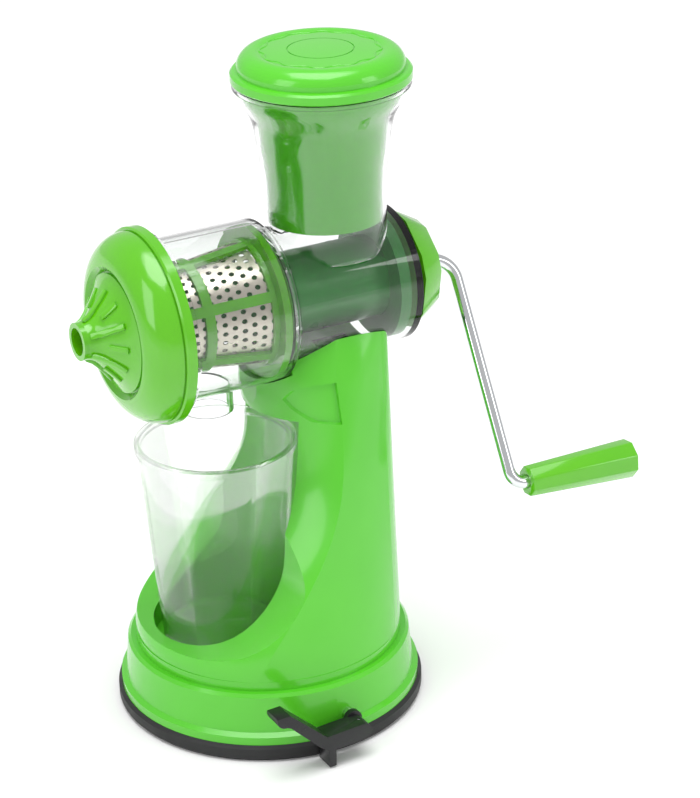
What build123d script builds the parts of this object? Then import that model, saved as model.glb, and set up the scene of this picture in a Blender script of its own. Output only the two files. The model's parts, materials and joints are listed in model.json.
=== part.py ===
from build123d import *
from math import cos, radians, sin
import os

# Hand-cranked fruit and vegetable juicer on a suction base, in millimetres.
# +Z is up, the origin is the centre of the base on the table, the screw turns about an
# axis along Y, the pulp nozzle points to -Y, the crank is at +Y and the lever is at +X.

# ---- base and glass -------------------------------------------------------------------
PAD_R = 75.0            # rubber suction pad
PAD_H = 8.0
PAD_SKIN = 3.2          # membrane under the base
FLANGE_R = PAD_R - 1.7  # foot flange of the stand, on the pad
FLANGE_TOP = PAD_H + 4.0
SKIRT_R = FLANGE_R - 2.5
LEDGE_R = SKIRT_R - 1.7
LEDGE_Z = 32.7
FOOT_R = LEDGE_R - 4.1  # tower where it leaves the ledge
FOOT_Z = LEDGE_Z + 4.6
GLASS_Y = -23.9
GLASS_HEIGHT = 103.7
GLASS_FLOOR = FOOT_Z - 0.6
GLASS_TOP = GLASS_FLOOR + GLASS_HEIGHT
GLASS_BASE_R = 29.6
GLASS_RIM_R = 38.7
GLASS_WALL = 1.6
GLASS_BASE_T = 3.0
NICHE_GAP = 4.0         # round the foot of the glass
NICHE_RISE = GLASS_TOP + 11.6

# ---- juicing head -----------------------------------------------------------------------
RUN = 0.05              # radial clearance of a running fit
CLEAR = 0.3             # gap between curved faces of different bodies
CLEAR_WALL = 1.7
BACK_WALL = 3.0
SCREW_R = 30.8
CORE_R = 20.0
SPOUT_Y = -27.0
SPOUT_R = 12.3
SPOUT_END = GLASS_TOP + 15.9
AXIS_Z = SPOUT_END + 48.6
BARREL_R = SCREW_R + 2.4
BARREL_END = 72.1
DRUM_R = 38.6
DRUM_BACK = 5.6
DRUM_FRONT = -53.0
COLLAR_Y = DRUM_FRONT + 0.9     # flange behind the cap
NECK_R = DRUM_R + 2.2   # front of the drum, which the cap turns on
COLLAR_R = NECK_R + 2.6
CAP_BACK = COLLAR_Y - CLEAR
NECK_END = CAP_BACK - 5.3
HOPPER_Y = 38.7
HOPPER_R = 28.8
HOPPER_OUTLINE = [
    (HOPPER_R, AXIS_Z + 20.1), (HOPPER_R, AXIS_Z + 41.1), (HOPPER_R + 0.6, AXIS_Z + 57.1),
    (HOPPER_R + 2.4, AXIS_Z + 72.1), (HOPPER_R + 5.2, AXIS_Z + 85.6), (HOPPER_R + 9.5, AXIS_Z + 93.6),
]
HOPPER_RIM_R = HOPPER_R + 12.0
HOPPER_TOP = AXIS_Z + 101.5
SHAFT_R = 7.0

# ---- stand ------------------------------------------------------------------------------
WALL = 2.5
ARC_EASE = 0.4          # keeps the six sides of the tower apart at its round foot
TOWER_TOP = AXIS_Z - 14.9
TOWER_HALF = 30.0       # half width of the tower at its top
TOWER_FRONT = -5.0      # foremost line of the tower's rounded front
TOWER_BACK = 57.3
LIP_Z = FOOT_Z + 7.7    # front lip of the glass niche
PANEL_DEPTH = 1.5       # sunk panel on the tower's front
LUG_Y = (33.0, 51.0)    # block under the barrel that two screws hold to the stand
LUG_HALF = 8.0
LUG_END = NICHE_RISE + 3.0
SHELF_T = 3.5
SCREW_SIZE = 2.0
SCREW_Y = (LUG_Y[0] + 5, LUG_Y[1] - 5)

# ---- screw, strainer and cap ------------------------------------------------------------
PITCH = 30.0
FLIGHT = 3.0
REAR_DISC = (BARREL_END - 11.1, BARREL_END - 5.5)
FLIGHT_START = REAR_DISC[0] - 4.0
SEAL = (REAR_DISC[1], BARREL_END - BACK_WALL - 0.2)
SHAFT_IN = REAR_DISC[0] - 16.0
STRAINER_BACK_R = DRUM_R - 7.1
STRAINER_FRONT_R = STRAINER_BACK_R - 7.2
STRAINER_BACK = DRUM_BACK - 3.2
STRAINER_FRONT = DRUM_FRONT - 1.2
STRAINER_BAR = 5.0
FRAME_T = 1.8
MESH_T = 0.6
BARS = 6
FIRST_BAR = 25.0
SCREW_FRONT = STRAINER_FRONT + 1.7
CAP_R = NECK_R + 5.7
CAP_BAND = 5.0
SEAT_Y = CAP_BACK - 17.4        # face of the cap that the nozzle's disc lies on
CAP_FRONT = SEAT_Y - 2.8
NOZZLE_TIP = SEAT_Y - 20.7
NOZZLE_BORE = 6.5
NOZZLE_R = NOZZLE_BORE + 2.4
DISC_R = 28.0
HUB_R = DISC_R - 3.6

# ---- pusher, crank, grip, lever -----------------------------------------------------------
LID_R = HOPPER_RIM_R + 1.2
LID_Z = HOPPER_TOP + 0.4
LID_TOP = LID_Z + 14.4
LID_BODY_R = LID_R - 3.1
LID_PLUG_R = HOPPER_RIM_R - 5.6
LID_RING_R = 15.3       # thin groove round the middle of the lid
PUSHER_END = AXIS_Z + SCREW_R + 4.3
PUSHER_GAP = 0.35
PUSHER_WALL = 2.0
KNOB_FRONT = BARREL_END + 3.6
KNOB_BACK = KNOB_FRONT + 12.8
KNOB_R = 29.6
KNOB_BACK_R = KNOB_R - 7.4
KNOB_TURN = 19.5
KNOB_CORNER = 10.8      # half angle of each cut-off corner
SQUARE = 9.6
SQUARE_Y = (KNOB_FRONT + 2.8, KNOB_BACK - 2.5)
ROD_R = 3.1
ROD_IN = SQUARE_Y[0] + 1.0
ARM_Y = KNOB_BACK + 17.9
ARM_LEN = 114.6
ARM_ANGLE = 29.6        # crank arm, from straight down towards +X
BEND_R = 12.0
GRIP_BEND_R = 7.0
GRIP_TILT = 2.2
GRIP_LEN = 58.5
GRIP_NEAR_R = 7.6
GRIP_FAR_R = 9.8
LEVER_Y = 5.4           # line of the lever's rod, cam and yoke
LEVER_Z = FLANGE_TOP + 4.0
LEVER_IN = PAD_R + 0.8
LEVER_W = 10.7
LEVER_OUT = LEVER_IN + LEVER_W
LEVER_PIN_X = LEVER_IN + 5.2
LEVER_PIN_R = 0.8
ROD_END_R = 2.0         # end of the cam rod, in the lever
CAM_OFFSET = 2.0        # lift of the suction stem over a quarter turn of the lever
CAM_R = 5.0
CAM_HALF = 3.6
STEM_PLATE_R = 22.0
YOKE_HALF = 5.0
BRACKET_X = (11.0, 15.0)        # the two plates that carry the cam rod

os.makedirs("parts", exist_ok=True)

screw_axis = Axis((0, 0, AXIS_Z), (0, 1, 0))
# Sketches for parts turned about the screw's axis: local x runs along Y, local y outwards.
along_screw = Plane(origin=(0, 0, AXIS_Z), x_dir=(0, 1, 0), z_dir=(1, 0, 0))


def upright(y):
    """Sketch plane of a part turned about a vertical axis at y: local x outwards, local y up."""
    return Plane(origin=(0, y, 0), x_dir=(1, 0, 0), z_dir=(0, -1, 0))


def turned_upright(y, outline):
    """A closed (radius, height) outline turned about the vertical axis at y."""
    with BuildPart() as turned:
        with BuildSketch(upright(y)):
            with BuildLine():
                Polyline(*outline, close=True)
            make_face()
        revolve(axis=Axis((0, y, 0), (0, 0, 1)))
    return turned.part


def turned_along(outline):
    """A closed (y, radius) outline turned about the screw's axis."""
    with BuildPart() as turned:
        with BuildSketch(along_screw):
            with BuildLine():
                Polyline(*outline, close=True)
            make_face()
        revolve(axis=screw_axis)
    return turned.part


def finish(name, part):
    part.label = name
    export_step(part, f"parts/{name}.step")


# ---- stand --------------------------------------------------------------------------------
def between(low, high, share):
    return tuple(a + (b - a) * share for a, b in zip(low, high))


def on_circle(radius, angle):
    return (radius * cos(radians(angle)), radius * sin(radians(angle)))


def tower_section(height, crease, front, inset=0.0):
    """Plan of the tower: round at the foot, and towards the top a rounded front, two nearly
    flat sides and a flat back with small corners."""
    share = (height - FOOT_Z) / (TOWER_TOP - FOOT_Z)
    half = TOWER_HALF - inset
    back = TOWER_BACK - inset
    foot = FOOT_R - inset
    outer_side = between(on_circle(FOOT_R - ARC_EASE, 5), (TOWER_HALF - 0.1, TOWER_BACK - 19.5), share)
    side = (outer_side[0] - inset, outer_side[1])
    side_end = between(on_circle(foot, 45), (half - 1, back - 6.5), share)
    corner = between(on_circle(foot, 57), (half - 2.4, back - 2.7), share)
    corner_end = between(on_circle(foot, 70), (half - 6, back - 1.2), share)
    rear = between(on_circle(foot - ARC_EASE, 90), (0, back), share)
    crease = (crease[0] - inset, crease[1] + inset)
    front = front + inset

    def other(point):
        return (-point[0], point[1])

    with BuildSketch(Plane.XY.offset(height)) as section:
        with BuildLine():
            ThreePointArc(crease, side, side_end)
            ThreePointArc(side_end, corner, corner_end)
            ThreePointArc(corner_end, rear, other(corner_end))
            ThreePointArc(other(corner_end), other(corner), other(side_end))
            ThreePointArc(other(side_end), other(side), other(crease))
            ThreePointArc(other(crease), (0, front), crease)
        make_face()
    return section.sketch


# Height, crease between side and front, and foremost line of each section of the tower.
TOWER_STEPS = [
    (FOOT_Z, on_circle(FOOT_R, -32), ARC_EASE - FOOT_R),
    (FOOT_Z + 37.7, (FOOT_R - 8, -8.0), 28 - FOOT_R),
    (FOOT_Z + 75.7, (TOWER_HALF + 18.5, TOWER_BACK - 41.3), TOWER_FRONT),
    (TOWER_TOP - 38.5, (TOWER_HALF + 8, TOWER_BACK - 33.7), TOWER_FRONT),
    (TOWER_TOP, (TOWER_HALF, TOWER_BACK - 30.9), TOWER_FRONT + 10.7),
]


def tower(inset):
    with BuildPart() as body:
        for height, crease, front in TOWER_STEPS:
            add(tower_section(height, crease, front, inset))
        loft()
    return body.part


def front_sweep(grow):
    """The space in front of the tower: under a curve from the niche's lip up to the front."""
    with BuildPart() as space:
        with BuildSketch(Plane.YZ):
            with BuildLine():
                rise = (TOWER_FRONT - 0.5 + grow, LIP_Z + 59)
                front = (-FOOT_R - 3, LIP_Z - grow)
                Spline(
                    front,
                    (-34 + 0.4 * grow, LIP_Z + 6.5 - 0.9 * grow),
                    (-11 + 0.75 * grow, LIP_Z + 26 - 0.65 * grow),
                    rise,
                    tangents=[(1, 0), (0, 1)],
                )
                Polyline(rise, (rise[0], TOWER_TOP + 5), (front[0], TOWER_TOP + 5), front)
            make_face()
        extrude(amount=FOOT_R + 5, both=True)
    return space.part


def niche(grow):
    """The tapered well that the glass stands in, open to the front."""
    foot = GLASS_BASE_R + NICHE_GAP + grow
    rise = foot + (GLASS_RIM_R - GLASS_BASE_R - 1.5)
    return turned_upright(
        GLASS_Y,
        [(0, GLASS_FLOOR - 0.4 - grow), (foot, GLASS_FLOOR - 0.4 - grow), (rise, NICHE_RISE + grow),
         (0, NICHE_RISE + grow)],
    )


def head_space(grow):
    """The barrel and drum that the top of the stand carries, with a gap."""
    return turned_along(
        [(DRUM_FRONT - 10, 0), (DRUM_FRONT - 10, DRUM_R + grow), (DRUM_BACK + grow, DRUM_R + grow),
         (DRUM_BACK + grow, BARREL_R + grow), (BARREL_END + 20, BARREL_R + grow), (BARREL_END + 20, 0)],
    )


def block(x, y, z):
    """A box between two x, two y and two z planes."""
    with BuildPart() as made:
        with BuildSketch(Plane.XY.offset(z[0])):
            with Locations(((x[0] + x[1]) / 2, (y[0] + y[1]) / 2)):
                Rectangle(x[1] - x[0], y[1] - y[0])
        extrude(amount=z[1] - z[0])
    return made.part


def rod_along_x(radius, x, y, z):
    with BuildPart() as made:
        with BuildSketch(Plane.YZ.offset(x[0])):
            with Locations((y, z)):
                Circle(radius)
        extrude(amount=x[1] - x[0])
    return made.part


def rod_up(radius, x, y, z):
    with BuildPart() as made:
        with BuildSketch(Plane.XY.offset(z[0])):
            with Locations((x, y)):
                Circle(radius)
        extrude(amount=z[1] - z[0])
    return made.part


with BuildPart() as panel:
    with BuildSketch(Plane.XZ.offset(10)):
        with Locations((TOWER_HALF, TOWER_TOP)):
            Polygon(
                (-8, -27.5), (-5, -23), (1, -20), (6, -20), (9.5, -40), (1.5, -37.5), (-5, -31.5),
                align=None,
            )
    extrude(amount=-34)
    mirror(about=Plane.YZ)

with BuildPart() as stand:
    add(turned_upright(0, [
        (0, PAD_H), (FLANGE_R, PAD_H), (FLANGE_R, FLANGE_TOP), (SKIRT_R, FLANGE_TOP + 1.5),
        (LEDGE_R, LEDGE_Z - 1.5), (LEDGE_R - 1.5, LEDGE_Z), (FOOT_R, LEDGE_Z), (FOOT_R, FOOT_Z), (0, FOOT_Z),
    ]))
    add(tower(0))
    add(panel.part - tower(PANEL_DEPTH), mode=Mode.SUBTRACT)
    with BuildSketch(Plane.XY.offset(PAD_H)):
        Circle(SKIRT_R - WALL - 1)
    extrude(amount=LEDGE_Z - WALL - PAD_H, mode=Mode.SUBTRACT)
    cavity = tower(WALL) - front_sweep(WALL) - niche(WALL) - head_space(WALL + 1)
    shelf = block((-60, 60), (-10, 60), (LUG_END - CLEAR - SHELF_T, LUG_END - CLEAR))
    under = rod_up(FOOT_R - WALL, 0, 0, (LEDGE_Z - WALL - 1, FOOT_Z + 0.5)) - niche(WALL)
    add(under, mode=Mode.SUBTRACT)
    add(cavity - shelf, mode=Mode.SUBTRACT)
    for side in (-1, 1):
        plate = sorted((side * BRACKET_X[0], side * BRACKET_X[1]))
        add(block(plate, (LEVER_Y - 9, LEVER_Y + 9), (10, GLASS_FLOOR - 1.5)))
    add(front_sweep(0), mode=Mode.SUBTRACT)
    add(niche(0), mode=Mode.SUBTRACT)
    add(head_space(CLEAR), mode=Mode.SUBTRACT)
    gap_x = (-LUG_HALF - CLEAR, LUG_HALF + CLEAR)
    add(block(gap_x, (LUG_Y[0] - CLEAR, LUG_Y[1] + CLEAR), (LUG_END - CLEAR, AXIS_Z)), mode=Mode.SUBTRACT)
    for y in SCREW_Y:
        add(rod_up(SCREW_SIZE + 0.2, 0, y, (LUG_END - 2 * SHELF_T, LUG_END)), mode=Mode.SUBTRACT)
    add(rod_along_x(ROD_R + RUN, (-20, FLANGE_R + 2), LEVER_Y, LEVER_Z), mode=Mode.SUBTRACT)
finish("stand_body", stand.part)

# ---- suction foot ---------------------------------------------------------------------------
pad = turned_upright(0, [
    (0, 0), (PAD_R - 1.6, 0), (PAD_R, 1.8), (PAD_R, PAD_H - 1.5), (PAD_R - 1.5, PAD_H),
    (FLANGE_R - 9, PAD_H), (FLANGE_R - 12, PAD_SKIN), (0, PAD_SKIN),
])
finish("suction_pad", pad)

PLATE_Z = PAD_SKIN + 0.1
with BuildPart() as stem:
    add(rod_up(STEM_PLATE_R, 0, 0, (PLATE_Z, PLATE_Z + 1.6)))
    add(rod_up(4.0, 0, LEVER_Y, (PLATE_Z + 1.6, LEVER_Z - 5)))
    add(block((-YOKE_HALF, YOKE_HALF), (LEVER_Y - 10.5, LEVER_Y + 10.5), (LEVER_Z - 9.2, LEVER_Z + 9.2)))
    with BuildSketch(Plane.YZ):
        with Locations((LEVER_Y, LEVER_Z - CAM_OFFSET / 2)):
            SlotOverall(2 * (CAM_R + CAM_OFFSET + 0.9), 2 * (CAM_R + 1.8))
    extrude(amount=YOKE_HALF + 1, both=True, mode=Mode.SUBTRACT)
finish("suction_stem", stem.part)

with BuildPart() as cam_rod:
    add(rod_along_x(ROD_R, (-18.5, LEVER_IN), LEVER_Y, LEVER_Z))
    add(rod_along_x(ROD_END_R, (LEVER_IN, LEVER_OUT - 2.5), LEVER_Y, LEVER_Z))
    add(rod_along_x(CAM_R, (-CAM_HALF, CAM_HALF), LEVER_Y, LEVER_Z - CAM_OFFSET))
    add(rod_up(LEVER_PIN_R, LEVER_PIN_X, LEVER_Y, (LEVER_Z - 5, LEVER_Z + 5)), mode=Mode.SUBTRACT)
finish("cam_rod", cam_rod.part)

with BuildPart() as clip:
    with BuildSketch(Plane.YZ.offset(-17.2)):
        with Locations((LEVER_Y, LEVER_Z)):
            Circle(5.6)
            Circle(ROD_R, mode=Mode.SUBTRACT)
    extrude(amount=1.2)
finish("cam_rod_clip", clip.part)

with BuildPart() as lever:
    with BuildSketch(Plane(origin=(LEVER_IN, LEVER_Y, LEVER_Z), x_dir=(0, 1, 0), z_dir=(1, 0, 0))):
        with BuildLine():
            Polyline(
                (0, -5.9), (-15.2, -6.6), (-15.4, -15.1), (-18.8, -15.3), (-19.1, -6.3), (-24.1, -2.6),
                (-26.8, 0.3), (-38.6, 12.2), (-40.6, 13.1),
            )
            ThreePointArc((-40.6, 13.1), (-44.5, 14.7), (-45.5, 18.7))
            Polyline((-45.5, 18.7), (-38.8, 19.0), (-19.8, 1.4), (0, 2.5))
            ThreePointArc((0, 2.5), (4.1, -1.4), (0, -5.9))
        make_face()
    extrude(amount=LEVER_OUT - LEVER_IN)
    add(rod_along_x(4.3, (FLANGE_R + 0.3, LEVER_IN + 0.6), LEVER_Y, LEVER_Z))
    add(rod_along_x(ROD_R, (SKIRT_R, LEVER_IN), LEVER_Y, LEVER_Z), mode=Mode.SUBTRACT)
    add(rod_along_x(ROD_END_R, (LEVER_IN - 1, LEVER_OUT - 2.5), LEVER_Y, LEVER_Z), mode=Mode.SUBTRACT)
    add(rod_up(LEVER_PIN_R, LEVER_PIN_X, LEVER_Y, (LEVER_Z - 8, LEVER_Z + 7)), mode=Mode.SUBTRACT)
finish("lever", lever.part)
finish("lever_pin", rod_up(LEVER_PIN_R, LEVER_PIN_X, LEVER_Y, (LEVER_Z - 5, LEVER_Z + 1.8)))

# ---- glass ------------------------------------------------------------------------------------
glass = turned_upright(GLASS_Y, [
    (0, GLASS_FLOOR), (GLASS_BASE_R - 0.8, GLASS_FLOOR), (GLASS_BASE_R, GLASS_FLOOR + 0.8),
    (GLASS_RIM_R - 1.4, GLASS_TOP - 4.4), (GLASS_RIM_R, GLASS_TOP - 3.6), (GLASS_RIM_R, GLASS_TOP - 0.8),
    (GLASS_RIM_R - 0.8, GLASS_TOP), (GLASS_RIM_R - 2.6, GLASS_TOP), (GLASS_RIM_R - 3.2, GLASS_TOP - 1),
    (GLASS_BASE_R - GLASS_WALL, GLASS_FLOOR + GLASS_BASE_T + 1), (GLASS_BASE_R - GLASS_WALL - 1.5,
     GLASS_FLOOR + GLASS_BASE_T), (0, GLASS_FLOOR + GLASS_BASE_T),
])
finish("glass", glass)

# ---- clear housing ------------------------------------------------------------------------------
def hopper_wall(inset, low, high):
    """The flared hopper, solid, drawn in by inset, from one height to another."""
    with BuildPart() as made:
        with BuildSketch(upright(HOPPER_Y)):
            with BuildLine():
                rim = (HOPPER_RIM_R - inset, HOPPER_TOP + 1)
                points = [(r - inset, z) for r, z in HOPPER_OUTLINE] + [rim]
                Spline(*points)
                Polyline(points[-1], (0, points[-1][1]), (0, points[0][1]), points[0])
            make_face()
        revolve(axis=Axis((0, HOPPER_Y, 0), (0, 0, 1)))
        add(rod_up(HOPPER_RIM_R + 5, 0, HOPPER_Y, (low, high)), mode=Mode.INTERSECT)
    return made.part


with BuildPart() as housing:
    add(turned_along([
        (NECK_END, 0), (NECK_END, NECK_R), (COLLAR_Y, NECK_R), (COLLAR_Y, COLLAR_R), (COLLAR_Y + 3, COLLAR_R),
        (COLLAR_Y + 4, DRUM_R), (DRUM_BACK - 2, DRUM_R), (DRUM_BACK, DRUM_R - 2), (DRUM_BACK, BARREL_R),
        (BARREL_END, BARREL_R), (BARREL_END, 0),
    ]))
    add(hopper_wall(0, HOPPER_OUTLINE[0][1], HOPPER_TOP))
    add(turned_upright(HOPPER_Y, [
        (HOPPER_RIM_R - CLEAR_WALL, HOPPER_TOP - 2), (HOPPER_RIM_R + 0.8, HOPPER_TOP - 2),
        (HOPPER_RIM_R + 0.8, HOPPER_TOP), (HOPPER_RIM_R - CLEAR_WALL, HOPPER_TOP),
    ]))
    add(rod_up(SPOUT_R, 0, SPOUT_Y, (SPOUT_END, AXIS_Z - 20)))
    add(block((-LUG_HALF, LUG_HALF), LUG_Y, (LUG_END, AXIS_Z - 20)))
    add(turned_along([
        (NECK_END - 1, 0), (NECK_END - 1, DRUM_R - CLEAR_WALL),
        (DRUM_BACK - CLEAR_WALL - 2, DRUM_R - CLEAR_WALL),
        (DRUM_BACK - CLEAR_WALL, DRUM_R - CLEAR_WALL - 2), (DRUM_BACK - CLEAR_WALL, BARREL_R - CLEAR_WALL),
        (BARREL_END - BACK_WALL, BARREL_R - CLEAR_WALL), (BARREL_END - BACK_WALL, 0),
    ]), mode=Mode.SUBTRACT)
    add(hopper_wall(CLEAR_WALL, AXIS_Z + 10, HOPPER_TOP + 0.5), mode=Mode.SUBTRACT)
    add(rod_up(SPOUT_R - CLEAR_WALL, 0, SPOUT_Y, (SPOUT_END - 1, AXIS_Z - 20)), mode=Mode.SUBTRACT)
    add(turned_along([
        (BARREL_END - BACK_WALL - 1, 0), (BARREL_END - BACK_WALL - 1, SHAFT_R + RUN),
        (BARREL_END + 1, SHAFT_R + RUN), (BARREL_END + 1, 0),
    ]), mode=Mode.SUBTRACT)
    for y in SCREW_Y:
        add(rod_up(SCREW_SIZE, 0, y, (LUG_END - 1, LUG_END + 10)), mode=Mode.SUBTRACT)
finish("clear_housing", housing.part)

with BuildPart() as housing_screws:
    for y in SCREW_Y:
        add(rod_up(SCREW_SIZE, 0, y, (LUG_END - CLEAR - SHELF_T, LUG_END + 9)))
        add(rod_up(2 * SCREW_SIZE, 0, y, (LUG_END - CLEAR - SHELF_T - 2.2, LUG_END - CLEAR - SHELF_T)))
finish("housing_screws", housing_screws.part)

# ---- screw ------------------------------------------------------------------------------------
def strainer_r(y):
    """Outer radius of the tapered strainer frame at y."""
    share = (y - STRAINER_BACK) / (STRAINER_FRONT - STRAINER_BACK)
    return STRAINER_BACK_R + (STRAINER_FRONT_R - STRAINER_BACK_R) * share


def flight(y, turns, outer, taper):
    """A helical flight standing on the core from y towards -Y, drawn in by taper at its end."""
    height = PITCH * turns
    with BuildPart() as made:
        with BuildLine():
            centre = (0, y, AXIS_Z)
            path = Helix(PITCH, height, CORE_R - 1, center=centre, direction=(0, -1, 0), cone_angle=taper)
        start = path @ 0
        out = (start - Vector(0, y, AXIS_Z)).normalized()
        with BuildSketch(Plane(origin=start, x_dir=out, z_dir=path % 0)):
            with Locations(((outer - CORE_R + 1) / 2, 0)):
                Rectangle(outer - CORE_R + 1, FLIGHT)
        sweep(is_frenet=True)
    return made.part


with BuildPart() as auger:
    add(turned_along([
        (SCREW_FRONT, 0), (SCREW_FRONT, 7), (SCREW_FRONT + 6.5, 11), (SCREW_FRONT + 28.5, 15),
        (STRAINER_BACK - 0.4, CORE_R - 1), (DRUM_BACK + 2, CORE_R), (REAR_DISC[0], CORE_R),
        (REAR_DISC[0], SCREW_R), (REAR_DISC[1], SCREW_R), (REAR_DISC[1], 0),
    ]))
    add(flight(FLIGHT_START, 1.6, SCREW_R, 0))
    add(turned_along([
        (SHAFT_IN, 0), (SHAFT_IN, SHAFT_R), (REAR_DISC[1] + 1, SHAFT_R), (REAR_DISC[1] + 1, 0),
    ]), mode=Mode.SUBTRACT)
finish("auger", auger.part)

with BuildPart() as shaft:
    add(turned_along([(SHAFT_IN, 0), (SHAFT_IN, SHAFT_R), (SQUARE_Y[0], SHAFT_R), (SQUARE_Y[0], 0)]))
    with BuildSketch(Plane(origin=(0, SQUARE_Y[0], AXIS_Z), x_dir=(1, 0, 0), z_dir=(0, 1, 0))):
        Rectangle(SQUARE, SQUARE)
    extrude(amount=SQUARE_Y[1] - SQUARE_Y[0])
    add(turned_along([(ROD_IN, 0), (ROD_IN, ROD_R), (KNOB_BACK, ROD_R), (KNOB_BACK, 0)]), mode=Mode.SUBTRACT)
finish("auger_shaft", shaft.part)
finish("shaft_seal", turned_along([
    (SEAL[0], SHAFT_R), (SEAL[0], SHAFT_R + 5), (SEAL[1], SHAFT_R + 3), (SEAL[1], SHAFT_R),
]))

# ---- strainer ------------------------------------------------------------------------------------
across = Plane(origin=(0, 0, AXIS_Z), x_dir=(1, 0, 0), z_dir=(0, -1, 0))


def cone_shell(y, outset, thick):
    """Part of the tapered strainer between two y, its outside drawn in by outset."""
    a, b = y
    return turned_along([
        (a, strainer_r(a) - outset), (b, strainer_r(b) - outset),
        (b, strainer_r(b) - outset - thick), (a, strainer_r(a) - outset - thick),
    ])


RINGS = (
    (STRAINER_BACK, STRAINER_BACK - 8.0), (STRAINER_BACK - 35.6, STRAINER_BACK - 40.2),
    (STRAINER_FRONT + 5, STRAINER_FRONT),
)
flange = DRUM_R - CLEAR_WALL - 0.4
with BuildPart() as frame:
    add(cone_shell((STRAINER_BACK, STRAINER_FRONT), 0, FRAME_T))
    for near, far in zip(RINGS, RINGS[1:]):
        with BuildPart(mode=Mode.PRIVATE) as windows:
            add(turned_along([(near[1], 0), (near[1], 50), (far[0], 50), (far[0], 0)]))
            with BuildSketch(across.offset(-near[1] - 1)):
                for turn in range(BARS // 2):
                    Rectangle(120, STRAINER_BAR, rotation=FIRST_BAR + turn * 360 / BARS)
            extrude(amount=near[1] - far[0] + 2, mode=Mode.SUBTRACT)
        add(windows.part, mode=Mode.SUBTRACT)
    add(turned_along([
        (STRAINER_BACK, STRAINER_BACK_R - 2), (STRAINER_BACK, flange - 2.5), (STRAINER_BACK - 2, flange),
        (STRAINER_BACK - 5.5, flange), (STRAINER_BACK - 5.5, STRAINER_BACK_R - 2.5),
    ]))
finish("strainer_frame", frame.part)
finish("strainer_mesh", cone_shell((STRAINER_BACK - 5, STRAINER_FRONT), FRAME_T, MESH_T))

# ---- cap, gasket and nozzle --------------------------------------------------------------------------
with BuildPart() as cap:
    with BuildSketch(along_screw):
        with BuildLine():
            band = CAP_BACK - CAP_BAND
            floor = NECK_END - 1.4
            Polyline(
                (SEAT_Y, HUB_R + 0.1), (SEAT_Y, DISC_R + 0.4), (CAP_FRONT + 0.8, DISC_R + 2.4),
                (CAP_FRONT, DISC_R + 3.2),
                (CAP_FRONT + 0.3, DISC_R + 5),
            )
            ThreePointArc(
                (CAP_FRONT + 0.3, DISC_R + 5), (SEAT_Y + 3.5, CAP_R - 4.5), (band - 0.8, CAP_R - 1.5),
            )
            Polyline(
                (band - 0.8, CAP_R - 1.5), (band - 0.5, CAP_R - 2.1), (band, CAP_R - 2.1),
                (band, CAP_R - 0.8),
                (band + 0.8, CAP_R),
                (CAP_BACK, CAP_R), (CAP_BACK, NECK_R + RUN), (floor, NECK_R + RUN),
                (floor, NECK_R - 1.5),
                (floor - 3.1, NECK_R - 2.9), (SEAT_Y + 2.6, DISC_R + 4.6),
                (SEAT_Y + 2.6, HUB_R + 0.1), (SEAT_Y, HUB_R + 0.1),
            )
        make_face()
    revolve(axis=screw_axis)
finish("front_cap", cap.part)
finish("cap_gasket", turned_along([
    (NECK_END, NECK_R - 0.3), (NECK_END - 1.3, NECK_R - 0.3), (NECK_END - 1.3, NECK_R - 1.3),
    (NECK_END, NECK_R - 2.6),
]))

with BuildPart() as nozzle:
    with BuildSketch(along_screw):
        with BuildLine():
            Polyline((SEAT_Y + 6.4, HUB_R), (SEAT_Y, HUB_R), (SEAT_Y, DISC_R), (SEAT_Y - 1.8, DISC_R))
            Spline(
                (SEAT_Y - 1.8, DISC_R), (SEAT_Y - 10.7, DISC_R / 2), (NOZZLE_TIP + 2.5, NOZZLE_R),
                tangents=[(-0.35, -1), (-1, -0.12)],
            )
            Polyline(
                (NOZZLE_TIP + 2.5, NOZZLE_R), (NOZZLE_TIP, NOZZLE_R), (NOZZLE_TIP, NOZZLE_BORE),
                (NOZZLE_TIP + 6, NOZZLE_BORE), (SEAT_Y - 4.7, HUB_R - 11), (SEAT_Y + 2.4, HUB_R - 3),
                (SEAT_Y + 6.4, HUB_R - 3), (SEAT_Y + 6.4, HUB_R),
            )
        make_face()
    revolve(axis=screw_axis)
finish("pulp_nozzle", nozzle.part)

# ---- pusher --------------------------------------------------------------------------------------------
cup_inset = CLEAR_WALL + PUSHER_GAP
with BuildPart() as cup:
    add(hopper_wall(cup_inset, PUSHER_END, HOPPER_TOP - 0.3))
    add(hopper_wall(cup_inset + PUSHER_WALL, PUSHER_END + PUSHER_WALL, HOPPER_TOP + 0.5), mode=Mode.SUBTRACT)
finish("pusher_cup", cup.part)

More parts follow.
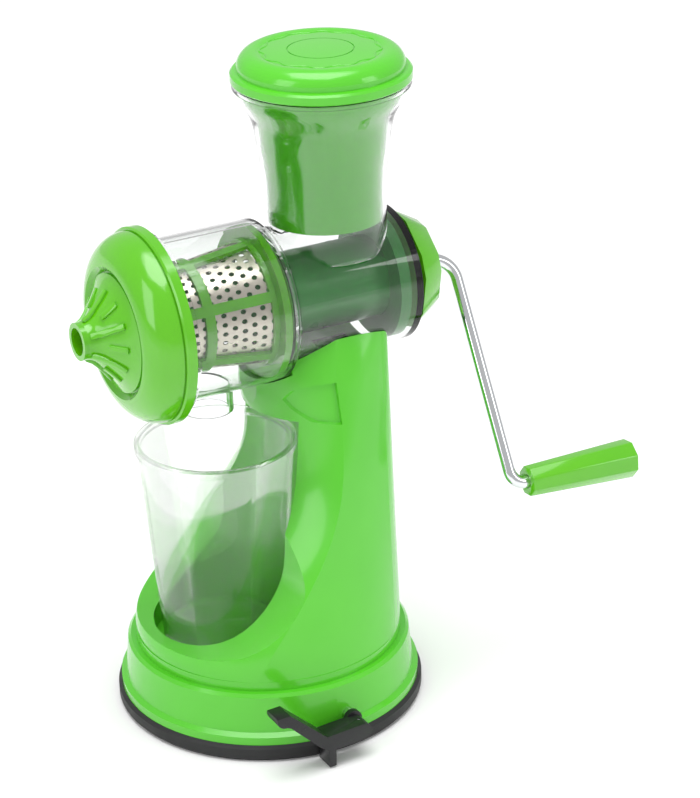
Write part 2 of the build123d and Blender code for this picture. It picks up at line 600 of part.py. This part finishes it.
with BuildPart() as lid:
    with BuildSketch(upright(HOPPER_Y)):
        with BuildLine():
            ThreePointArc((0, LID_TOP), (14, LID_TOP - 0.2), (28, LID_TOP - 0.9))
            ThreePointArc((28, LID_TOP - 0.9), (LID_BODY_R - 2.2, LID_TOP - 2.6), (LID_BODY_R, LID_TOP - 6.5))
            Polyline(
                (LID_BODY_R, LID_TOP - 6.5), (LID_BODY_R, LID_Z + 5.4), (LID_R - 1, LID_Z + 5),
                (LID_R, LID_Z + 4),
                (LID_R, LID_Z + 0.6), (LID_R - 0.6, LID_Z), (LID_PLUG_R, LID_Z),
                (LID_PLUG_R - 0.6, LID_Z - 5), (LID_PLUG_R - 2.4, LID_Z - 5),
                (LID_PLUG_R - 2.4, LID_Z + 2.5), (LID_BODY_R - 2.5, LID_Z + 6), (28, LID_TOP - 3.4),
                (0, LID_TOP - 2.8),
                (0, LID_TOP),
            )
        make_face()
    revolve(axis=Axis((0, HOPPER_Y, 0), (0, 0, 1)))
    add(turned_upright(HOPPER_Y, [
        (LID_RING_R - 0.3, LID_TOP - 0.8), (LID_RING_R + 0.3, LID_TOP - 0.8), (LID_RING_R + 0.3, LID_TOP + 1),
        (LID_RING_R - 0.3, LID_TOP + 1),
    ]), mode=Mode.SUBTRACT)
finish("pusher_lid", lid.part)

# ---- crank -----------------------------------------------------------------------------------------------
def knob_outline(radius):
    """A hexagon with its corners cut off."""
    middles = [KNOB_TURN + 60 * k for k in range(6)]
    return [on_circle(radius, middle + step) for middle in middles for step in (-KNOB_CORNER, KNOB_CORNER)]


with BuildPart() as knob:
    for y, radius in ((KNOB_FRONT, KNOB_R), (KNOB_BACK, KNOB_BACK_R)):
        with BuildSketch(across.offset(-y)):
            Polygon(*knob_outline(radius), align=None)
    loft()
    add(turned_along([
        (60, 0), (60, SHAFT_R), (SQUARE_Y[0], SHAFT_R), (SQUARE_Y[0], 0),
    ]), mode=Mode.SUBTRACT)
    with BuildSketch(Plane(origin=(0, SQUARE_Y[0], AXIS_Z), x_dir=(1, 0, 0), z_dir=(0, 1, 0))):
        Rectangle(SQUARE, SQUARE)
    extrude(amount=SQUARE_Y[1] - SQUARE_Y[0], mode=Mode.SUBTRACT)
    add(turned_along([(60, 0), (60, ROD_R), (100, ROD_R), (100, 0)]), mode=Mode.SUBTRACT)
finish("crank_knob", knob.part)

swing = radians(ARM_ANGLE)
crank_plane = Plane(
    origin=(0, 0, AXIS_Z), x_dir=(sin(swing), 0, -cos(swing)), z_dir=(cos(swing), 0, sin(swing)),
)
tilt = radians(GRIP_TILT)
GRIP_START = ARM_Y + GRIP_BEND_R + 1.0
GRIP_STEM = GRIP_START - ARM_Y + GRIP_LEN - 4.0


def along_grip(distance):
    """Point of the grip's axis, in the crank's plane."""
    return (ARM_LEN + distance * sin(tilt), ARM_Y + distance * cos(tilt))


with BuildPart() as rod:
    with BuildLine(crank_plane):
        FilletPolyline(
            (0, ROD_IN), (0, ARM_Y), (ARM_LEN, ARM_Y), along_grip(GRIP_STEM), radius=[BEND_R, GRIP_BEND_R],
        )
    with BuildSketch(Plane(origin=(0, ROD_IN, AXIS_Z), x_dir=(1, 0, 0), z_dir=(0, 1, 0))):
        Circle(ROD_R)
    sweep()
finish("crank_rod", rod.part)

grip_at = crank_plane.from_local_coords(Vector(*along_grip(GRIP_START - ARM_Y), 0))
grip_to = crank_plane.from_local_coords(Vector(*along_grip(GRIP_START - ARM_Y + GRIP_LEN), 0))
grip_way = (grip_to - grip_at).normalized()


def grip_plane(distance):
    return Plane(origin=grip_at + grip_way * distance, x_dir=crank_plane.z_dir, z_dir=grip_way)


with BuildPart() as grip:
    with BuildSketch(grip_plane(0)):
        RegularPolygon(GRIP_NEAR_R, 8)
    with BuildSketch(grip_plane(GRIP_LEN)):
        RegularPolygon(GRIP_FAR_R, 8)
    loft()
    with BuildSketch(grip_plane(0)):
        Circle(ROD_R + RUN)
    extrude(amount=GRIP_LEN, mode=Mode.SUBTRACT)
    with BuildSketch(grip_plane(GRIP_LEN - 4.2)):
        Circle(5.8)
    extrude(amount=6, mode=Mode.SUBTRACT)
finish("grip", grip.part)

with BuildPart() as rivet:
    with BuildSketch(grip_plane(GRIP_LEN - 4.0)):
        Circle(5.2)
    extrude(amount=2.2)
finish("grip_rivet", rivet.part)
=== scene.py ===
import json
from math import cos, pi, radians, sin

import bpy
from mathutils import Matrix, Vector


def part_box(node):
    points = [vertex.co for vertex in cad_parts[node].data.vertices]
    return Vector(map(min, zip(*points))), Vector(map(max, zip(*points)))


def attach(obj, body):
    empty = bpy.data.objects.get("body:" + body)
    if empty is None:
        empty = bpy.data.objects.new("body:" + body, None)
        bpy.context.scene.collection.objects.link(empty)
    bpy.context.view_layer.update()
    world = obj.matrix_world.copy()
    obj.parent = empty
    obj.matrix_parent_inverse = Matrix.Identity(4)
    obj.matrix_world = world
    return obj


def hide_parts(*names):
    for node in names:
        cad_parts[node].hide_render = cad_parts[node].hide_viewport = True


MM = 0.001

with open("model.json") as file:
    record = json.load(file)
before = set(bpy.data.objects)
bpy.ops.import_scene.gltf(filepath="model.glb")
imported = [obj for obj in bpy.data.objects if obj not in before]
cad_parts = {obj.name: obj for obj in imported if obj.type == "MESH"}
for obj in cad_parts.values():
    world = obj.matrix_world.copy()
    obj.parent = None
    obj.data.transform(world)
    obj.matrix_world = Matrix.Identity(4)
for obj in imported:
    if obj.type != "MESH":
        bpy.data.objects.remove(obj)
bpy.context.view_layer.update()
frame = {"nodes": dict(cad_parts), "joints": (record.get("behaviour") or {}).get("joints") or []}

joint_places = {joint["name"]: joint.get("pos_m") for joint in frame["joints"]}
SCREW_AXIS_Z = joint_places["crank_spin"][2]
lid_low, lid_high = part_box("pusher_lid")
nozzle_tip_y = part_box("pulp_nozzle")[0].y
strainer_low, strainer_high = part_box("strainer_mesh")


# ---- materials ---------------------------------------------------------------------------
def linear_colour(hex_colour):
    """An sRGB hex colour as the linear RGBA that a shader takes."""
    channels = [int(hex_colour[i:i + 2], 16) / 255 for i in (1, 3, 5)]
    linear = [c / 12.92 if c <= 0.04045 else ((c + 0.055) / 1.055) ** 2.4 for c in channels]
    return (*linear, 1.0)


def add_node(tree, kind, settings, inputs):
    """Adds one node, with its settings, and values or links for its inputs."""
    made = tree.nodes.new(kind)
    for name, value in settings.items():
        setattr(made, name, value)
    for name, value in inputs.items():
        if isinstance(value, bpy.types.NodeSocket):
            tree.links.new(value, made.inputs[name])
        else:
            made.inputs[name].default_value = value
    return made


def per_mm(size_mm):
    """Texture scale that gives a feature of this size on Object coordinates in metres."""
    return 1000.0 / size_mm


# Most of a noise texture's values lie between these two.
NOISE_LOW = 0.3
NOISE_HIGH = 0.7


def finish_material(
        name, colours, roughness, mottle_mm, grain_mm, grain_depth_mm, constants, stretch=(1, 1, 1)):
    """A material whose colour drifts between two close tones, whose gloss varies between two
    roughness values, and whose surface has a fine grain of a real depth."""
    material = bpy.data.materials.new(name)
    material.use_nodes = True
    tree = material.node_tree
    shader = tree.nodes["Principled BSDF"]
    for socket, value in constants.items():
        shader.inputs[socket].default_value = value
    place = add_node(tree, "ShaderNodeTexCoord", {}, {})
    turned = add_node(tree, "ShaderNodeMapping", {}, {"Vector": place.outputs["Object"], "Scale": stretch})
    mottle = add_node(
        tree, "ShaderNodeTexNoise", {},
        {"Vector": turned.outputs["Vector"], "Scale": per_mm(mottle_mm), "Detail": 3.0})
    tone = add_node(tree, "ShaderNodeMix", {"data_type": "RGBA"}, {"Factor": mottle.outputs["Fac"]})
    colour_in = [socket for socket in tone.inputs if socket.type == "RGBA"]
    colour_in[0].default_value = linear_colour(colours[0])
    colour_in[1].default_value = linear_colour(colours[1])
    colour_out = [socket for socket in tone.outputs if socket.type == "RGBA"][0]
    tree.links.new(colour_out, shader.inputs["Base Color"])
    gloss = add_node(
        tree, "ShaderNodeMapRange", {},
        {"Value": mottle.outputs["Fac"], "From Min": NOISE_LOW, "From Max": NOISE_HIGH,
         "To Min": roughness[0], "To Max": roughness[1]})
    tree.links.new(gloss.outputs["Result"], shader.inputs["Roughness"])
    grain = add_node(
        tree, "ShaderNodeTexNoise", {},
        {"Vector": turned.outputs["Vector"], "Scale": per_mm(grain_mm), "Detail": 2.0})
    bump = add_node(
        tree, "ShaderNodeBump", {},
        {"Strength": 1.0, "Distance": grain_depth_mm * MM, "Height": grain.outputs["Fac"]})
    tree.links.new(bump.outputs["Normal"], shader.inputs["Normal"])
    return material


# Injection-moulded polypropylene: bright leaf green, glossy, with a broad soft waviness.
stand_green = finish_material(
    "moulded_polypropylene_green", ("#5CCB2E", "#50BD24"), (0.16, 0.24), 45, 14, 0.04,
    {"IOR": 1.49, "Coat Weight": 0.3, "Coat Roughness": 0.08})
# ABS: a yellower green, with a deeper gloss that mirrors the lamps sharply.
cap_green = finish_material(
    "polished_abs_green", ("#60BC0C", "#54B008"), (0.10, 0.17), 35, 12, 0.03,
    {"IOR": 1.54, "Coat Weight": 0.4, "Coat Roughness": 0.05})
# Nylon screw: dark bottle green, satin, faintly mottled where it fills the barrel.
screw_green = finish_material(
    "moulded_nylon_dark_green", ("#0A9120", "#087818"), (0.26, 0.36), 18, 2.5, 0.02, {"IOR": 1.53})
# Styrene acrylonitrile: water-clear moulded walls whose edges look dark grey.
clear_wall = finish_material(
    "clear_moulded_styrene", ("#FFFFFF", "#FAFDFC"), (0.0, 0.01), 30, 18, 0.015,
    {"IOR": 1.47, "Transmission Weight": 1.0, "Specular IOR Level": 0.35})
# Clear tumbler: thin wall, smooth, almost without colour; part of the light passes it unbent, so
# that it stays pale.
tumbler_clear = finish_material(
    "clear_tumbler_acrylic", ("#FFFFFF", "#FBFDFD"), (0.0, 0.01), 40, 20, 0.01,
    {"IOR": 1.45, "Transmission Weight": 1.0, "Alpha": 0.6})
# Perforated stainless sheet: warm grey, brushed round the strainer.
strainer_steel = finish_material(
    "perforated_stainless_sheet", ("#D6CFC2", "#BDB6AA"), (0.24, 0.38), 6, 0.8, 0.01,
    {"Metallic": 1.0}, stretch=(1, 0.2, 1))
# Chrome plate on a bent steel rod: a mirror with only the faintest ripple.
rod_chrome = finish_material(
    "bright_chrome_plate", ("#E6E8EA", "#DADDE0"), (0.04, 0.09), 20, 6, 0.008, {"Metallic": 1.0})
# Zinc-plated steel fasteners and shaft: dull silver with a fine crystalline grain.
zinc_steel = finish_material(
    "zinc_plated_steel", ("#B4B6B8", "#9DA0A3"), (0.28, 0.42), 4, 0.6, 0.01, {"Metallic": 1.0})
# Nitrile rubber pad: near black and matt, with a fine moulded grain.
pad_rubber = finish_material(
    "moulded_black_rubber", ("#131314", "#1B1B1D"), (0.5, 0.65), 12, 0.7, 0.04, {"IOR": 1.52})
# Black acetal lever: near black and satin, with lighter edges from its sheen.
lever_black = finish_material(
    "moulded_black_acetal", ("#101012", "#17171A"), (0.26, 0.36), 10, 1.2, 0.02, {"IOR": 1.48})
# Silicone seals: milky and soft, with a matt skin.
seal_silicone = finish_material(
    "milky_silicone_rubber", ("#DCDCD8", "#CFCFCA"), (0.45, 0.6), 10, 1.0, 0.02, {"IOR": 1.41})

NODE_FINISHES = {
    "stand_body": stand_green, "suction_pad": pad_rubber, "clear_housing": clear_wall,
    "housing_screws": zinc_steel, "cam_rod": rod_chrome, "lever_pin": zinc_steel, "cam_rod_clip": zinc_steel,
    "suction_stem": lever_black, "glass": tumbler_clear, "auger": screw_green, "auger_shaft": zinc_steel,
    "shaft_seal": seal_silicone, "crank_knob": cap_green, "crank_rod": rod_chrome, "grip_rivet": zinc_steel,
    "grip": cap_green, "pusher_cup": stand_green, "pusher_lid": stand_green, "front_cap": cap_green,
    "cap_gasket": seal_silicone, "pulp_nozzle": cap_green, "strainer_frame": cap_green,
    "strainer_mesh": strainer_steel, "lever": lever_black,
}
for node_name, material in NODE_FINISHES.items():
    for material_slot in frame["nodes"][node_name].material_slots:
        material_slot.material = material


# ---- making pieces --------------------------------------------------------------------------
# Faces that meet at less than this are shaded as one smooth surface.
SMOOTH_UNDER = radians(35)


def deselect_all():
    if bpy.context.mode != "OBJECT":
        bpy.ops.object.mode_set(mode="OBJECT")
    bpy.ops.object.select_all(action="DESELECT")


def select_only(piece):
    """Makes one piece the active object and the only selected one."""
    deselect_all()
    piece.select_set(True)
    bpy.context.view_layer.objects.active = piece


def new_object(name, data):
    """A new object in the scene that holds this data."""
    made = bpy.data.objects.new(name, data)
    bpy.context.scene.collection.objects.link(made)
    return made


def settle(piece, name, material, body):
    """Names a finished piece, gives it its finish, and has it ride on its body."""
    select_only(piece)
    bpy.ops.object.transform_apply(location=True, rotation=True, scale=True)
    bpy.ops.object.mode_set(mode="EDIT")
    bpy.ops.mesh.select_all(action="SELECT")
    bpy.ops.mesh.normals_make_consistent(inside=False)
    bpy.ops.object.mode_set(mode="OBJECT")
    piece.name = name
    piece.data.name = name
    piece.data.materials.clear()
    piece.data.materials.append(material)
    bpy.ops.object.shade_smooth_by_angle(angle=SMOOTH_UNDER)
    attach(piece, body)


def apply_modifiers(piece):
    select_only(piece)
    for name in [modifier.name for modifier in piece.modifiers]:
        bpy.ops.object.modifier_apply(modifier=name)


def join_pieces(pieces):
    deselect_all()
    for piece in pieces:
        piece.select_set(True)
    bpy.context.view_layer.objects.active = pieces[0]
    bpy.ops.object.join()
    return pieces[0]


def about_screw(angle):
    """A turn about the screw's axis, which runs along Y."""
    centre = Vector((0, 0, SCREW_AXIS_Z))
    return Matrix.Translation(centre) @ Matrix.Rotation(angle, 4, "Y") @ Matrix.Translation(-centre)


def copies_round_screw(piece, angles):
    """One copy of a piece at each angle round the screw, each with its own mesh, joined into one."""
    copies = []
    for angle in angles:
        copy = new_object(piece.name, piece.data.copy())
        copy.data.transform(about_screw(angle))
        copies.append(copy)
    bpy.data.objects.remove(piece)
    return join_pieces(copies)


# ---- softened moulded edges --------------------------------------------------------------------
# Points this close are one point, and faces this near to one plane are one face.
SOFTENED_WELD = 0.01 * MM
FLAT_WITHIN = radians(1)
# Only edges that turn by more than this are rounded.
SHARP_OVER = radians(28)


def softened(node, width_mm, material, body):
    """A copy of a CAD node whose sharp edges are rounded as a mould leaves them."""
    source = frame["nodes"][node]
    copy = new_object(node + "_moulded", source.data.copy())
    select_only(copy)
    bpy.ops.object.mode_set(mode="EDIT")
    bpy.ops.mesh.select_all(action="SELECT")
    bpy.ops.mesh.remove_doubles(threshold=SOFTENED_WELD)
    bpy.ops.mesh.dissolve_limited(angle_limit=FLAT_WITHIN)
    bpy.ops.object.mode_set(mode="OBJECT")
    edge = copy.modifiers.new("moulded_edge", "BEVEL")
    edge.width = width_mm * MM
    edge.segments = 3
    edge.limit_method = "ANGLE"
    edge.angle_limit = SHARP_OVER
    apply_modifiers(copy)
    settle(copy, node + "_moulded", material, body)
    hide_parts(node)


softened("grip", 0.5, cap_green, "grip")
softened("crank_knob", 0.5, cap_green, "crank")
softened("lever", 0.4, lever_black, "lever")


# ---- perforated strainer sheet -------------------------------------------------------------------
HOLE_R = 1.25 * MM
HOLE_PITCH = 5.0 * MM
HOLE_SIDES = 12
SHEET_T = 0.6 * MM
SHEET_MARGIN = 1.2 * MM
SHEET_WELD = 0.02 * MM
# Depth of the band of points taken as the sheet's front ring.
RING_BAND = 0.5 * MM
# A cell's points further out than this belong to its border, and the rest to its hole.
BORDER_OVER = 1.5 * HOLE_R
NEAR_ZERO = 1e-6

sheet_front = strainer_low.y
sheet_back = strainer_high.y
sheet_wide = strainer_high.x
sheet_points = [v.co for v in frame["nodes"]["strainer_mesh"].data.vertices]
front_ring = [co for co in sheet_points if co.y < sheet_front + RING_BAND]
sheet_narrow = max(Vector((co.x, co.z - SCREW_AXIS_Z)).length for co in front_ring)

columns = round(2 * pi * sheet_wide / HOLE_PITCH)
row_step = HOLE_PITCH * 3 ** 0.5 / 2
rows = int((sheet_back - sheet_front - 2 * SHEET_MARGIN) / row_step)

# One cell of the sheet: a round hole in a brick-shaped border, so that cells fit together in
# rows that are each half a cell along from the last.
deselect_all()
bpy.ops.mesh.primitive_circle_add(vertices=HOLE_SIDES, radius=HOLE_R, fill_type="NOTHING", location=(0, 0, 0))
cell = bpy.context.object
bpy.ops.object.mode_set(mode="EDIT")
bpy.ops.mesh.select_all(action="SELECT")
bpy.ops.mesh.extrude_region_move()
bpy.ops.transform.resize(value=(2, 2, 1), center_override=(0, 0, 0))
bpy.ops.object.mode_set(mode="OBJECT")
half_u, half_v = HOLE_PITCH / 2, row_step / 2
for vertex in cell.data.vertices:
    if vertex.co.xy.length > BORDER_OVER:
        direction = vertex.co.xy.normalized()
        reach = min(
            half_u / max(abs(direction.x), NEAR_ZERO),
            half_v / max(abs(direction.y), NEAR_ZERO),
        )
        vertex.co.xy = direction * reach
corners = sorted(
    (v for v in cell.data.vertices if v.co.xy.length > BORDER_OVER),
    key=lambda v: -min(abs(v.co.x) / half_u, abs(v.co.y) / half_v))[:4]
for vertex in corners:
    vertex.co.x = half_u if vertex.co.x > 0 else -half_u
    vertex.co.y = half_v if vertex.co.y > 0 else -half_v

cells = []
for row in range(rows):
    for column in range(columns):
        copy = cell.data.copy()
        shift = 0.5 * (row % 2)
        copy.transform(Matrix.Translation(((column + shift) * HOLE_PITCH, (row + 0.5) * row_step, 0)))
        cells.append(new_object("cell", copy))
bpy.data.objects.remove(cell)
sheet = join_pieces(cells)

# Rolled into the tapered cone, and closed round where its two ends meet.
around = 2 * pi / (columns * HOLE_PITCH)
for vertex in sheet.data.vertices:
    angle = vertex.co.x * around
    share = vertex.co.y / (rows * row_step)
    radius = sheet_narrow + (sheet_wide - sheet_narrow) * share
    place_y = sheet_front + share * (sheet_back - sheet_front)
    vertex.co = (radius * sin(angle), place_y, SCREW_AXIS_Z + radius * cos(angle))
select_only(sheet)
bpy.ops.object.mode_set(mode="EDIT")
bpy.ops.mesh.select_all(action="SELECT")
bpy.ops.mesh.remove_doubles(threshold=SHEET_WELD)
bpy.ops.mesh.normals_make_consistent(inside=False)
bpy.ops.object.mode_set(mode="OBJECT")
wall = sheet.modifiers.new("sheet_thickness", "SOLIDIFY")
wall.thickness = SHEET_T
wall.offset = -1
apply_modifiers(sheet)
settle(sheet, "strainer_perforated_sheet", strainer_steel, "strainer")
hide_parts("strainer_mesh")


# ---- ribs on the nozzle's flare --------------------------------------------------------------------
RIB_W = 3.0 * MM
RIB_H = 2.8 * MM
RIB_EASE = 0.45 * MM
RIBS = 6
# The first section's turn about X, from flat, which sets it square to the flare.
RIB_LEAN = radians(135)
# (distance back from the tip, radius) along the flare.
FLARE = [(4.0, 9.0), (7.0, 10.8), (10.0, 13.8), (13.0, 17.4), (16.0, 21.6)]


def flare_rib(name, places):
    """A rib that follows the flare through the given places, straight above the screw's axis."""
    deselect_all()
    points = [Vector((0, nozzle_tip_y + back * MM, SCREW_AXIS_Z + radius * MM)) for back, radius in places]
    bpy.ops.mesh.primitive_plane_add(size=1, location=points[0])
    rib = bpy.context.object
    rib.name = name
    rib.scale = (RIB_W, RIB_H, 1)
    rib.rotation_euler = (RIB_LEAN, 0, 0)
    bpy.ops.object.transform_apply(location=True, rotation=True, scale=True)
    bpy.ops.object.mode_set(mode="EDIT")
    bpy.ops.mesh.select_all(action="SELECT")
    for start, end in zip(points, points[1:]):
        bpy.ops.mesh.extrude_region_move(TRANSFORM_OT_translate={"value": end - start})
    bpy.ops.object.mode_set(mode="OBJECT")
    edge = rib.modifiers.new("soft_rib_edge", "BEVEL")
    edge.width = RIB_EASE
    edge.segments = 2
    apply_modifiers(rib)
    return rib


# The short ribs stand half way between the long ones and start further back.
long_angles = [2 * pi * k / RIBS for k in range(RIBS)]
short_angles = [2 * pi * (k + 0.5) / RIBS for k in range(RIBS)]
long_ribs = copies_round_screw(flare_rib("long_rib", FLARE), long_angles)
settle(long_ribs, "nozzle_long_ribs", cap_green, "nozzle")
short_ribs = copies_round_screw(flare_rib("short_rib", FLARE[2:]), short_angles)
settle(short_ribs, "nozzle_short_ribs", cap_green, "nozzle")

# ---- scalloped bead on the lid ---------------------------------------------------------------------
BEAD_R = 27.0 * MM
BEAD_WAVE = 1.1 * MM
BEAD_WAVES = 12
BEAD_THICK_R = 0.5 * MM
BEAD_BELOW_TOP = 0.95 * MM

deselect_all()
lid_middle = (lid_low + lid_high) / 2
bpy.ops.mesh.primitive_torus_add(
    major_radius=BEAD_R, minor_radius=BEAD_THICK_R, major_segments=180, minor_segments=10,
    location=(lid_middle.x, lid_middle.y, lid_high.z - BEAD_BELOW_TOP))
bead = bpy.context.object
for vertex in bead.data.vertices:
    flat = Vector((vertex.co.x, vertex.co.y))
    turn = flat.angle_signed(Vector((1, 0)), 0)
    flat *= 1 + BEAD_WAVE * cos(BEAD_WAVES * turn) / BEAD_R
    vertex.co.x, vertex.co.y = flat
settle(bead, "lid_scalloped_bead", stand_green, "pusher")

# ---- camera, light and floor -------------------------------------------------------------------------
# Metres, degrees, and millimetres of lens and sensor.
CAMERA_PLACE = (1.06679, -0.52770, 0.69754)
CAMERA_TURN = 61.6
CAMERA_TILT = 65.41
CAMERA_ROLL = -1.54
CAMERA_LENS = 124.32
CAMERA_SENSOR = 36
CAMERA_REACH = 20
FLOOR_SIZE = 8
FLOOR_DROP = 0.2 * MM
FLOOR_ROUGHNESS = 0.9
SUN_POWER = 1.3
SUN_SPREAD = radians(50)
WORLD_POWER = 0.6

camera_data = bpy.data.cameras.new("studio_camera")
camera_data.sensor_width = CAMERA_SENSOR
camera_data.lens = CAMERA_LENS
camera_data.clip_end = CAMERA_REACH
camera = new_object("studio_camera", camera_data)
aim = Matrix.Rotation(radians(CAMERA_TURN), 4, "Z") @ Matrix.Rotation(radians(CAMERA_TILT), 4, "X")
roll = Matrix.Rotation(radians(CAMERA_ROLL), 4, "Z")
camera.matrix_world = Matrix.Translation(CAMERA_PLACE) @ aim @ roll
bpy.context.scene.camera = camera

deselect_all()
bpy.ops.mesh.primitive_plane_add(size=FLOOR_SIZE, location=(0, 0, -FLOOR_DROP))
floor = bpy.context.object
floor.name = "pale_floor"
pale = bpy.data.materials.new("pale_paper")
pale.use_nodes = True
paper = pale.node_tree.nodes["Principled BSDF"]
paper.inputs["Base Color"].default_value = linear_colour("#FBFBFB")
paper.inputs["Roughness"].default_value = FLOOR_ROUGHNESS
floor.data.materials.append(pale)


def soft_lamp(name, place, aim_at, size, power):
    """A rectangular lamp at a place, in metres, that faces another, with its power in watts."""
    lamp_data = bpy.data.lights.new(name, "AREA")
    lamp_data.shape = "RECTANGLE"
    lamp_data.size, lamp_data.size_y = size
    lamp_data.energy = power
    lamp = new_object(name, lamp_data)
    lamp.location = place
    lamp.rotation_euler = (Vector(aim_at) - Vector(place)).to_track_quat("-Z", "Y").to_euler()


soft_lamp("top_softbox", (0.1, -0.1, 1.3), (0, 0, 0.15), (0.8, 0.8), 4.5)
soft_lamp("left_softbox", (0.2, -1.1, 0.7), (0, 0, 0.16), (0.5, 0.9), 3.6)
soft_lamp("right_softbox", (1.0, 0.9, 0.6), (0, 0, 0.16), (0.4, 0.9), 3.2)

sky_data = bpy.data.lights.new("overhead_diffuser", "SUN")
sky_data.energy = SUN_POWER
sky_data.angle = SUN_SPREAD
new_object("overhead_diffuser", sky_data)

world = bpy.data.worlds.new("white_room")
world.use_nodes = True
background = world.node_tree.nodes["Background"]
background.inputs["Color"].default_value = (1, 1, 1, 1)
background.inputs["Strength"].default_value = WORLD_POWER
bpy.context.scene.world = world
bpy.context.scene.view_settings.view_transform = "Standard"
